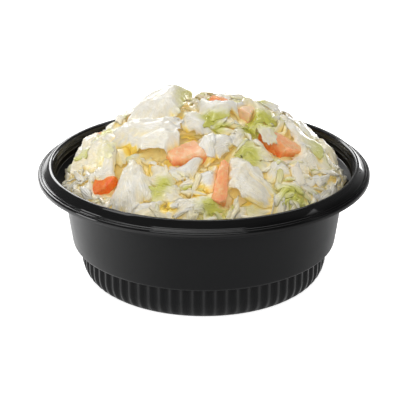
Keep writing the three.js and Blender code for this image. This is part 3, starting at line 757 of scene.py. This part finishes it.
# Leaves and ribs that give the heap its look from the front, laid at the heap's own level, lowest first:
# x, y, heading, length, width, bend, cup, height above the heap, shade, and what else differs
heroColumns = ("x", "y", "heading", "length", "width", "bend", "cup", "above", "shade")
heroPieces = [
    (-56, -18, 108, 20, 13, 1, 1, 0, 0.5, {}),
    (56, -18, 72, 20, 13, 1, 1, 0, 0.6, {}),
    (-49, -35, -49, 20, 13, 1, 1, 0, 0.5, dict(warm=0.4)),
    (-36, -49, -29, 15, 10, 1, 0.8, 0.2, 0.8, {}),
    (-23, -53, 2, 17, 12, 1, 1, 0.2, 0.8, dict(notches=5)),
    (-2, -55, 18, 24, 14, 1.2, 1.4, 0.2, 0.8, dict(ridges=3)),
    (14, -55, 20, 13, 8, 1, 1, 0.4, 0.8, {}),
    (24, -53, 26, 15, 10, 1, 0.6, 0.2, 0.6, dict(folds=[(2.4, 90, 0.1)], green=0.4)),
    (35, -43, 40, 18, 12, 1, 1.6, 0.4, 0.2, dict(green=1.0, ridges=4, ridge=0.35)),
    (51, -25, 60, 22, 14, 1.2, 1.4, 0, 0.7, dict(green=0.3, ruffle=0.9, notches=5)),
    (42, -36, 38, 16, 14, 1.2, 1, 0.2, 0.6, dict(ruffle=0.6, notches=4)),
    (-39, -45, -34, 11, 9, 0.6, 0.4, 1, 1.0, dict(folds=[(2.6, 90, 0)])),
    (-44, -32, -34, 22, 15, 1, 1.2, -0.2, 0.6, dict(warm=0.4)),
    (-43, -20, -30, 28, 19, 1.4, 1.4, 0, 0.5, dict(green=0.45, greenWay=0, ruffle=0.6, notches=4)),
    (-29, -39, -92, 27, 19, 1.4, 2.2, 0.4, 0.85, dict(taper=-0.6, ridges=5, ridge=0.36, fan=0.7,
     thick=0.8, ragged=0.12, notches=4, warm=0.4, warmWay=180, clear=True)),
    (-17, -41, -6, 14, 14, 1, 1.2, 0, 0.6, dict(folds=[(1.2, 40, 0)])),
    (-16, -48, -8, 15, 10, 1, 1, 0.2, 0.6, dict(green=0.5)),
    (1, -46, 9, 11, 11, 0.8, 1, 0.2, 1.0, dict(kind="rib", thick=1.8)),
    (-10, -41, -5, 9, 9, 0.8, 0.8, 0.6, 0.9, dict(kind="rib", thick=1.8)),
    (10, -39, 18, 18, 10, 1, 1, 0, 0.4, dict(warm=0.45)),
    (19, -43, -30, 30, 16, 1.4, 2.8, 0.3, 0.8, dict(taper=0.35, ridges=3, ridge=0.22, fan=0.4, thick=0.7,
     ragged=0.1, notches=3, warm=0.25, warmWay=-90, clear=True)),
    (31, -35, 61, 15, 12, 1, 1.4, 0.6, 0.9, dict(lift=8)),
    (41, -22, 67, 20, 13, 1.2, 1.2, 0.3, 0.6, dict(warm=0.3)),
    (49, -6, 50, 26, 18, 1.4, 1.4, 0, 0.7, dict(notches=5, ruffle=0.6, free=0.1, ridges=6, ridge=0.3)),
    (43, 0, 57, 21, 14, 1.4, 1.2, 0.4, 0.8, dict(free=0.1)),
    (5, -27, 24, 19, 14, 1.4, 1.2, 0.8, 1.0, dict(thick=0.7, taper=0.45, pucker=0.12, ruffle=0.2,
     folds=[(1.2, 80, 0.1)], freeWay=-90, clear=True)),
    (20, -28, 12, 16, 16, 1.2, 1.2, 0.2, 0.5, dict(green=0.6, ridges=3, freeWay=-90)),
    (14, -21, 70, 13, 9, 0.8, 1, 0.6, 0.8, dict(taper=0.4, lift=8)),
    (-34, -21, -32, 14, 12, 0.8, 1, 0.4, 0.3, dict(green=0.8)),
    (-42, -5, 120, 31, 24, 1.6, 2, 0.3, 0.9, dict(corner=0.3, warm=0.5, warmWay=200, freeWay=90,
     over=True, clear=True)),
    (-29, -5, 100, 27, 14, 1.6, 1.4, 0.3, 0.8, {}),
    (-19, -20, -8, 33, 22, 1.8, 2.4, 0.6, 0.95, dict(ridges=3, ridge=0.35, ragged=0.12, notches=4,
     freeWay=-70, free=0.15, stick=0.8, warm=0.3, warmWay=-60, clear=True)),
    (-4, -14, -36, 20, 15, 1.4, 1.6, 0.5, 0.9, dict(freeWay=-80)),
    (7, -11, 6, 17, 16, 1, 1, 0, 0.2, dict(green=0.8, warm=0.8)),
    (42, 9, 39, 18, 15, 1.4, 1.4, 0.2, 0.5, dict(green=0.3, free=0.1, ridges=6, ridge=0.28)),
    (34, 4, 33, 19, 20, 1.6, 1.6, 0.3, 0.7, dict(freeWay=-90, free=0.1)),
    (25, 3, 29, 24, 24, 2, 2, 0.4, 0.5, dict(green=0.8, freeWay=-90, free=0.1)),
    (6, -3, 20, 20, 24, 1.8, 3.2, 0.4, 1.0, dict(thick=0.9, pucker=0.25, green=1.0, greenWay=-120,
     greenFrom=0.3, freeWay=-90, clear=True)),
    (-17.5, 3.5, 56, 31, 27, 3.2, 4.6, 0.3, 0.9, dict(ragged=0.07, notches=2, taper=0.35, pucker=0.2,
     green=0.7, greenWay=-60, greenFrom=0.3, freeWay=10, warm=0.3, warmWay=-90, folds=[(0.8, 30, 0.3)],
     free=0.3, cut=0.14, clear=True)),
    (-5, -40, -117, 16, 7, 1, 0.6, 1.8, 1.0, dict(folds=[(1.6, 90, 0)], taper=-0.6, over=True)),
    (-42, -29, 5, 14, 8, 0.8, 1, 1.9, 0.9, dict(stick=0.3, over=True)),
    (1.5, -29, 70, 13, 9, 1, 1, 2.0, 0.9, dict(stick=0.15, taper=0.4, over=True)),
    (26.2, -19.5, 110, 15, 11, 1, 1, 2.2, 0.7, dict(stick=0.15, green=0.4, over=True)),
    (-31, 19, 30, 18, 12, 1.2, 1.2, 0.9, 0.7, dict(stick=0.5, over=True)),
    (-49, 7, 75, 17, 11, 1.0, 1.0, 0.9, 0.6, dict(stick=0.5, over=True)),
    (-12, 38, 0, 18, 11, 1, 1, 0.9, 0.8, dict(stick=0.4, over=True)),
    (11, 21, 10, 25, 15, 1.8, 2, 0.2, 0.7, dict(over=True)),
    (-36, 22, 60, 23, 18, 1.8, 1.8, 0, 0.6, {}),
    (4, 44, 10, 27, 17, 1.6, 1.8, 0, 0.6, dict(green=0.3)),
    (40, 30, 130, 23, 15, 1.6, 1.4, 0, 0.7, dict(kind="rib", thick=2.0, lift=6)),
]
heroUsual = {
    "kind": "leaf", "avoid": False, "settle": 0.25, "step": 0.75, "thick": 0.5, "stick": 0.8, "pucker": 0.5,
    "merge": 0, "ruffle": 0.7, "ragged": 0.15, "notches": 4, "cut": 0.26,
}

rings = {
    "places": ((54, 13, 17), (43, 10, 21), (30, 7, 23)),  # radius, count and length of the leaves
    "sector": (-14, 194),
    "widthShare": 0.7,
    "usual": {
        "bend": 1.4, "cup": 1.6, "above": 0.1, "settle": 0.25, "thick": 0.5, "stick": 0.55, "pucker": 0.5,
        "ruffle": 0.6, "merge": 0, "cross": 0.14, "ragged": 0.14, "cut": 0.28, "notches": 3, "free": 0.3,
    },
    "limits": {
        "heading": (0, 360), "shade": (0.3, 1), "lift": (-6, 6), "roll": (-6, 6), "green": (-0.6, 0.9),
        "warm": (-0.9, 0.6),
    },
}

scatter = {
    "radius": 61,
    "under": {
        "count": 240, "size": (14, 24), "margin": 1.8, "yield": 0.8, "tries": 14, "most": 0.4, "near": 2.5,
        "step": 1.5,
    },
    "between": {
        "count": 700, "size": (10, 18), "margin": 0.3, "yield": 0.7, "tries": 24, "most": 1.2, "near": 2.5,
        "step": 1.15,
    },
    "gaps": {
        "count": 420, "size": (8, 15), "margin": 0.35, "yield": 0.6, "tries": 80, "most": 3.0, "near": 1.0,
        "around": 4.0,
    },
    "ribShare": 0.2,
    "shredShare": 0.1,
    "limits": {
        "heading": (0, 360), "lift": (-14, 14), "roll": (-14, 14), "taper": (0.0, 0.6), "cut": (0.15, 0.4),
        "corner": (0.1, 0.8), "ragged": (0.08, 0.2), "shade": (0, 1), "sweep": (-0.15, 0.15),
        "wave": (0.04, 0.13), "green": (-0.6, 0.9), "notches": (0, 5), "settle": (0.3, 0.9),
        "warm": (-0.9, 0.6), "stick": (0.5, 0.95), "sink": (0.35, 0.65),
    },
    "rib": {
        "width": (0.45, 0.8), "thick": (1.2, 2.2), "bend": (0, 0.12), "cup": (0.02, 0.16), "ridges": (0, 5),
    },
    "leaf": {"width": (0.35, 0.75), "thick": (0.35, 0.6)},
    "leafCurve": {"bend": (-0.06, 0.16), "cup": (-0.06, 0.16), "ruffle": (0.3, 1.1), "pucker": (0.3, 0.7)},
    "heartLength": 14,  # shorter leaves are of the paler heart
}

chips = {
    "count": 600,
    "size": (7, 14),
    "usual": {
        "merge": 0.0, "pucker": 0.14, "sink": 0.6, "most": 3.4, "yield": 0.6, "ragged": 0.14, "notches": 3,
        "cut": 0.25, "settle": 0.9, "reach": 66.0,
    },
    "limits": {
        "heading": (0, 360), "width": (0.15, 0.4), "thick": (0.35, 0.5), "taper": (0, 0.7),
        "bend": (-0.06, 0.16), "cup": (-0.06, 0.14), "wave": (0.03, 0.12), "ruffle": (0.1, 0.7),
        "lift": (-18, 18), "roll": (-22, 22), "shade": (0.2, 1), "green": (-0.5, 1.0), "warm": (-0.8, 0.7),
        "stick": (0.4, 0.9),
    },
}

frills = {
    "count": 200,
    "size": (9, 15),
    "areas": ((46, -20, 13, 17), (30, -44, 16, 8), (-50, -18, 8, 14), (36, 6, 12, 12)),  # x, y and half sizes
    "usual": {
        "thick": 0.35, "merge": 0.0, "pucker": 0.3, "sink": 0.6, "most": 2.6, "yield": 0.6, "free": 0.7,
        "ragged": 0.14, "notches": 2, "cut": 0.3, "settle": 0.9, "reach": 66.0, "cross": 0.2,
    },
    "limits": {
        "heading": (0, 360), "width": (0.22, 0.45), "taper": (0, 0.5), "bend": (-0.1, 0.2),
        "cup": (-0.1, 0.2), "wave": (0.05, 0.15), "ruffle": (0.3, 0.7), "lift": (-12, 12),
        "roll": (-16, 16), "shade": (0.5, 1), "green": (-0.8, 0.9), "stick": (0.5, 0.9),
    },
}


def drawn(length, limits):
    # each value drawn evenly between its limits, in their order: width and curves as shares of the length,
    # notches and ridges whole, and a tint under 0 counted as 0
    values = {}
    for name, (low, high) in limits.items():
        value = rng.integers(low, high) if name in ("notches", "ridges") else rng.uniform(low, high)
        if name in ("width", "bend", "cup", "wave"):
            value = length * value
        values[name] = max(0.0, value) if name in ("green", "warm") else value
    return values


def someFolds(draw, size, share, count):
    # creases: height, direction and distance from the middle
    return [(size * draw.uniform(-share, share), draw.uniform(0, 180), draw.uniform(-0.6, 0.6))
            for _ in range(count)]


def randomPiece(fill):
    # a piece of a random kind with its size, curve, folds, tilt and tint drawn between limits
    chance = rng.uniform()
    length = rng.uniform(*fill["size"])
    shape = {"length": length, "yield": fill["yield"], **drawn(length, scatter["limits"])}
    shape["shade"] **= 0.7
    if "step" in fill:
        shape["step"] = fill["step"]
    if chance < scatter["shredShare"]:
        shape.update(width=rng.uniform(1.8, 3.6), thick=rng.uniform(0.8, 1.4), bend=rng.uniform(-1.5, 2.5),
                     cup=0.3, length=length * 1.2, pucker=0.08, ragged=0.04, notches=0)
        return "shred", shape
    if chance < scatter["shredShare"] + scatter["ribShare"]:
        shape.update(drawn(length, scatter["rib"]), green=shape["green"] * 0.35)
        return "rib", shape
    folds = [(length * rng.uniform(-0.16, 0.16), rng.normal(90, 30), rng.uniform(-0.6, 0.6))
             for _ in range(rng.integers(2, 5))]
    shape.update(drawn(length, scatter["leaf"]), free=0.5, freeWay=rng.normal(0, 40), merge=0.0, folds=folds)
    shape.update(drawn(length, scatter["leafCurve"]), ridges=rng.choice([0, 0, 3, 4]))
    return ("heart" if length < scatter["heartLength"] else "leaf"), shape


def meanAround(x, y, away):
    # mean level of the pile at eight places around x, y
    turns = np.arange(8) * np.pi / 4
    return sum(sampleMap(pile, x + away * np.cos(a), y + away * np.sin(a)) for a in turns) / 8


def fillHeap(fill):
    # each piece goes to the place, of some random ones, where the pile is farthest under the wanted level,
    # or under the level around it
    laid = 0
    for _ in range(fill["count"]):
        radius = scatter["radius"] * np.sqrt(rng.uniform(size=fill["tries"]))
        angle = rng.uniform(0, 2 * np.pi, fill["tries"])
        x, y = radius * np.cos(angle), radius * np.sin(angle)
        wanted = meanAround(x, y, fill["around"]) if "around" in fill else wantedLevel(x, y)
        lack = wanted - fill["margin"] - meanAround(x, y, fill["near"])
        best = np.argmax(lack)
        if lack[best] < 0:
            continue
        kind, shape = randomPiece(fill)
        shape.update(x=x[best], y=y[best], most=fill["most"], reach=69.0 if y[best] < -6 else 66.0)
        laid += layPiece(kind, shape, rng.integers(1 << 30))
    return laid


def layHero():
    # the leaves of the table above, each with small random folds and tilt that the table may overrule
    for number, (*values, more) in enumerate(heroPieces):
        shape = {**dict(zip(heroColumns, values)), **more}
        draw = np.random.default_rng(400 + number)
        size = np.sqrt(shape["length"] * shape["width"])
        chance = {"folds": someFolds(draw, size, 0.12, 3), "wave": 0.06 * size,
                  "lift": draw.uniform(-6, 6), "roll": draw.uniform(-6, 6)}
        shape = {**heroUsual, **chance, **shape}
        if not layPiece(shape["kind"], shape, 9000 + number):
            print("left out:", number, shape["kind"], shape["x"], shape["y"])


def layRings():
    # middle-sized leaves on circles round the sides and the back
    for radius, count, size in rings["places"]:
        for turn in np.radians(np.linspace(*rings["sector"], count)):
            turn, size = turn + rng.uniform(-0.06, 0.06), size * rng.uniform(0.85, 1.15)
            shape = {**rings["usual"], "x": radius * np.cos(turn), "y": radius * np.sin(turn), "length": size,
                     "width": size * rings["widthShare"], "wave": 0.06 * size,
                     "folds": someFolds(rng, size, 0.12, 3), **drawn(size, rings["limits"])}
            layPiece("leaf", shape, rng.integers(1 << 30))


def layChips():
    # small thin scraps of leaf that cling to what is under them, kept off the big smooth leaves
    for _ in range(chips["count"]):
        radius, angle = scatter["radius"] * np.sqrt(rng.uniform()), rng.uniform(0, 2 * np.pi)
        length = rng.uniform(*chips["size"])
        shape = {**chips["usual"], "x": radius * np.cos(angle), "y": radius * np.sin(angle), "length": length,
                 **drawn(length, chips["limits"])}
        layPiece("chip", shape, rng.integers(1 << 30))


def layFrills():
    # narrow soft strips of leaf, drawn around the middle of each oval area
    laid = 0
    for place in range(frills["count"]):
        x0, y0, wide, deep = frills["areas"][place % len(frills["areas"])]
        x, y = x0 + wide * rng.normal(0, 0.5), y0 + deep * rng.normal(0, 0.5)
        if np.hypot(x, y) > scatter["radius"]:
            continue
        length = rng.uniform(*frills["size"])
        shape = {**frills["usual"], "x": x, "y": y, "length": length, "folds": someFolds(rng, length, 0.2, 2),
                 **drawn(length, frills["limits"])}
        laid += layPiece("chip", shape, rng.integers(1 << 30))
    return laid


carrotTop = keepMap > 0
pile = np.minimum(pile, carrotFloor - 1.5)
print("lower pieces:", fillHeap(scatter["under"]))
keepOut |= carrotTop
print("upper pieces:", fillHeap(scatter["between"]))
layHero()
layRings()
pile = np.where(carrotTop, np.maximum(pile, keepMap), pile)
print("gap pieces:", fillHeap(scatter["gaps"]))
layChips()
print("frills:", layFrills())
print("pieces laid", {kind: len(parts) for kind, parts in made.items()},
      {kind: sum(len(part[1]) for part in parts) * 2 for kind, parts in made.items()})


def hiddenness(points, levels):
    # 1 less the share of sky seen over the level map: in twelve directions the steepest rise within 10 mm
    # is the horizon, and 1 - sin(horizon) is averaged; points under the map's top count as hidden
    x, y, z = points.T
    seen = np.zeros(len(points))
    for angle in np.arange(12) * np.pi / 6:
        steep = np.zeros(len(points))
        for away in (0.8, 1.6, 2.8, 4.6, 7.0, 10.0):
            over = levels[cellOf(x + away * np.cos(angle), y + away * np.sin(angle))] - z
            steep = np.maximum(steep, over / away)
        seen += 1 - steep / np.sqrt(1 + steep * steep)
    covered = smooth(0.4, 2.2, levels[cellOf(x, y)] - z)
    return np.clip(1 - seen / 12 + 0.6 * covered, 0, 1)


# flesh from yellow to white, green from pale to full, how many veins, and how deep the relief is
white = (0.83, 0.802, 0.72)
finishes = {
    "rib": cabbage("cabbageRib", ((0.87, 0.77, 0.51), (0.865, 0.78, 0.59), (0.85, 0.788, 0.66), white),
                   ((0.78, 0.75, 0.4), (0.68, 0.68, 0.2)), 3.0, 0.001),
    "leaf": cabbage("cabbageLeaf", ((0.87, 0.77, 0.47), (0.865, 0.775, 0.55), (0.85, 0.788, 0.63), white),
                    ((0.77, 0.74, 0.34), (0.61, 0.6, 0.1)), 4.5, 0.001),
    "heart": cabbage("cabbageHeart",
                     ((0.87, 0.75, 0.42), (0.87, 0.765, 0.51), (0.86, 0.778, 0.58), (0.84, 0.797, 0.67)),
                     ((0.78, 0.74, 0.34), (0.64, 0.62, 0.13)), 4.0, 0.0008),
}
finishes["shred"] = finishes["chip"] = finishes["leaf"]

# soft oval spots: x, y and half sizes. Warm: painted shade in pockets between leaves. Green: green tint
# of the leaves, the first two an olive painted shadow under a leaf
tintAndShadeSpots = {
    "warm": ((-6.7, -20.9, 5, 4), (-30.4, -23.5, 7, 3), (-18.1, -35, 8, 4), (7.9, -36.5, 9, 4),
             (-1.5, -50.9, 5, 4), (-15.3, -54.6, 6, 3), (15.6, -50, 6, 3), (-11, -8, 4, 3)),
    "green": ((1.4, -13.9, 4, 3), (6.9, -17.6, 5, 3), (-16.7, -46.5, 4.5, 3), (36.8, -44.2, 8, 4),
              (19.6, -16.2, 5, 5), (19.2, -33.5, 5, 5), (4.1, -56.4, 7, 3), (25, -10.4, 6, 5),
              (17, 12, 8, 5), (-43, -3, 5, 4)),
}


def spotLevel(spots, x, y):
    # largest of the spots exp(-(dx/wide)^2 - (dy/deep)^2) at x, y
    return np.max([np.exp(-((x - sx) / wide) ** 2 - ((y - sy) / deep) ** 2)
                   for sx, sy, wide, deep in spots], axis=0)


# painted shade: how hiddenness, the pieces' warm shade and the shade spots become the attribute deep
paintedShading = {
    "meanRounds": 80,
    "hidden": (0.08, 0.8),  # hiddenness where a hollow begins and where it is full
    "share": (0.42, 0.36),  # how deep it looks at the mean level, and how much more under it
    "warm": 0.7,
    "shadeSpots": 1.5,
}


def joinKind(kind):
    # all pieces of a kind as one mesh, their faces renumbered one after another. Deep, the painted shade, is
    # the larger of the hiddenness, more so under the mean level, the piece's own painted warm shade and the
    # painted shade spots
    points, faces, uv, green, warm, shade = zip(*made[kind])
    starts = np.cumsum([0] + [len(part) for part in points])
    faces = np.vstack([part + start for part, start in zip(faces, starts)])
    points = np.vstack(points)
    x, y, z = points.T
    # painted shade: deeper where the sky is hidden over the pile and under the mean level, and in the shade
    # spots
    drop = sampleMap(meanLevel, x, y) - z
    least, more = paintedShading["share"]
    deep = smooth(*paintedShading["hidden"], hiddenness(points, pile)) * (least + more * smooth(-1.2, 1.2, drop))
    shadeSpots = paintedShading["shadeSpots"] * smooth(-0.8, 0.7, drop) * spotLevel(tintAndShadeSpots["warm"], x, y)
    attributes = {
        "green": np.clip(np.concatenate(green) + spotLevel(tintAndShadeSpots["green"], x, y), 0, 1),
        "shade": np.concatenate(shade),
        "deep": np.max([deep, np.concatenate(warm) * paintedShading["warm"], shadeSpots], axis=0),
    }
    piece = makeMesh(f"cabbage_{kind}s", points, faces, uv=np.vstack(uv), attributes=attributes)
    addPiece(piece, finishes[kind], "cabbage")


meanLevel = softened(pile, paintedShading["meanRounds"])
for kind in kinds:
    joinKind(kind)


core = {
    "turns": 180,
    "lining": ((20.0, 2.4), (40.0, 2.4), (47.2, 2.5), (51.2, 4.6),
               (52.7, 9.5), (52.8, 16.9), (57.3, 18.0), (59.8, 34.0)),  # radius and level
    "radius": 59.9,
    "circles": 60,
    "lowest": 34.0,
    "bottom": 2.4,
    # deep: the whole core painted in warm shade, as it lies under the pieces
    "attributes": {"green": 0.0, "shade": 0.3, "deep": 0.6},
}


def heapCore():
    # polar grid: the lining of the bowl up to the wall, then the dome under the pieces with small lumps
    lining = np.array(core["lining"])
    angle = np.arange(core["turns"]) * 2 * np.pi / core["turns"]
    dome = core["radius"] * np.cos(np.linspace(0, np.pi / 2, core["circles"]))[:-1]
    r = np.concatenate([lining[:, 0], dome])[:, None]
    x, y = r * np.cos(angle), r * np.sin(angle)
    lumps = 0.5 * np.sin(x * 0.8) * np.cos(y * 0.7) + 0.35 * np.sin(x * 1.9 + y * 1.3)
    lumps = lumps + 0.3 * np.cos(x * 1.1 - y * 2.1)
    z = np.maximum(wantedLevel(x, y) - heap["coreDrop"] + lumps, core["lowest"])
    z[:len(lining)] = lining[:, 1:]
    top = heapLevel(0.0, 0.0) - heap["coreDrop"]
    points = np.vstack([np.stack([x, y, z], -1).reshape(-1, 3), [0, 0, core["bottom"]], [0, 0, top]])
    attributes = {name: np.full(len(points), value) for name, value in core["attributes"].items()}
    faces = ringFaces(len(r), core["turns"])
    return makeMesh("slaw_core", points, *faces, uv=points[:, :2] / laying["flatUnit"], attributes=attributes)


addPiece(heapCore(), finishes["heart"], "cabbage", "slaw")
print("core made")


studio = {
    "floor": {
        "Base Color": (0.93, 0.93, 0.93), "Roughness": 0.8,
        "Emission Color": (1, 1, 1), "Emission Strength": 0.8,
    },
    "floorSide": 4000,
    "floorLevel": -0.02,
    "world": 0.19,
    "lights": {  # place, width and height, power
        "key": ((-0.15, 0.25, 0.86), (1.3, 0.3), 4.5),
        "front": ((-0.05, -0.78, 0.6), (1.0, 0.36), 3.5),
        "left": ((-0.85, -0.15, 0.1), (0.25, 0.4), 2.0),
        "right": ((0.8, -0.1, 0.45), (0.2, 0.3), 0.7),
        "back": ((-0.25, 0.75, 0.42), (0.6, 0.2), 2.8),
        "backRight": ((0.4, 0.85, 0.08), (0.25, 0.16), 0.8),
    },
    "lightTarget": (0, 0, 0.04),
    "cameraHeight": 0.02395,
    "distance": 0.6227,
    "elevation": 23.37,
    "lens": 124.86,
    "shift": (-0.0095, 0.0434),
}


def addFloor():
    # a wide flat sheet under the bowl
    side, level = studio["floorSide"], studio["floorLevel"]
    corners = [(-side, -side, level), (side, -side, level), (side, side, level), (-side, side, level)]
    floor = makeMesh("floor", corners, [[0, 1, 2, 3]])
    floor.data.materials.append(newMaterial("floorPaper", studio["floor"])[0])


def addLight(name, place, size, power):
    # a soft rectangle of light that looks at the heap
    light = bpy.data.lights.new(name, "AREA")
    light.shape = "RECTANGLE"
    light.size, light.size_y = size
    light.energy = power
    holder = bpy.data.objects.new(name, light)
    holder.location = place
    direction = np.array(studio["lightTarget"]) - np.array(place)
    holder.rotation_mode = "QUATERNION"
    holder.rotation_quaternion = Vector(direction).to_track_quat("-Z", "Y")
    scene.collection.objects.link(holder)


def addCamera():
    # at its distance from the middle of the bowl, raised by the elevation and tilted down by as much
    camera = bpy.data.cameras.new("camera")
    camera.lens = studio["lens"]
    camera.sensor_width = 36
    camera.shift_x, camera.shift_y = studio["shift"]
    camera.clip_start, camera.clip_end = 0.01, 20
    holder = bpy.data.objects.new("camera", camera)
    slant, distance = np.radians(studio["elevation"]), studio["distance"]
    holder.location = (0, -distance * np.cos(slant), studio["cameraHeight"] + distance * np.sin(slant))
    holder.rotation_euler = (np.radians(90 - studio["elevation"]), 0, 0)
    scene.collection.objects.link(holder)
    scene.camera = holder


world = bpy.data.worlds.new("studio")
world.use_nodes = True
world.node_tree.nodes["Background"].inputs["Color"].default_value = (1, 1, 1, 1)
world.node_tree.nodes["Background"].inputs["Strength"].default_value = studio["world"]
scene.world = world
addFloor()
for name, light in studio["lights"].items():
    addLight(name, *light)
addCamera()
print("studio set")
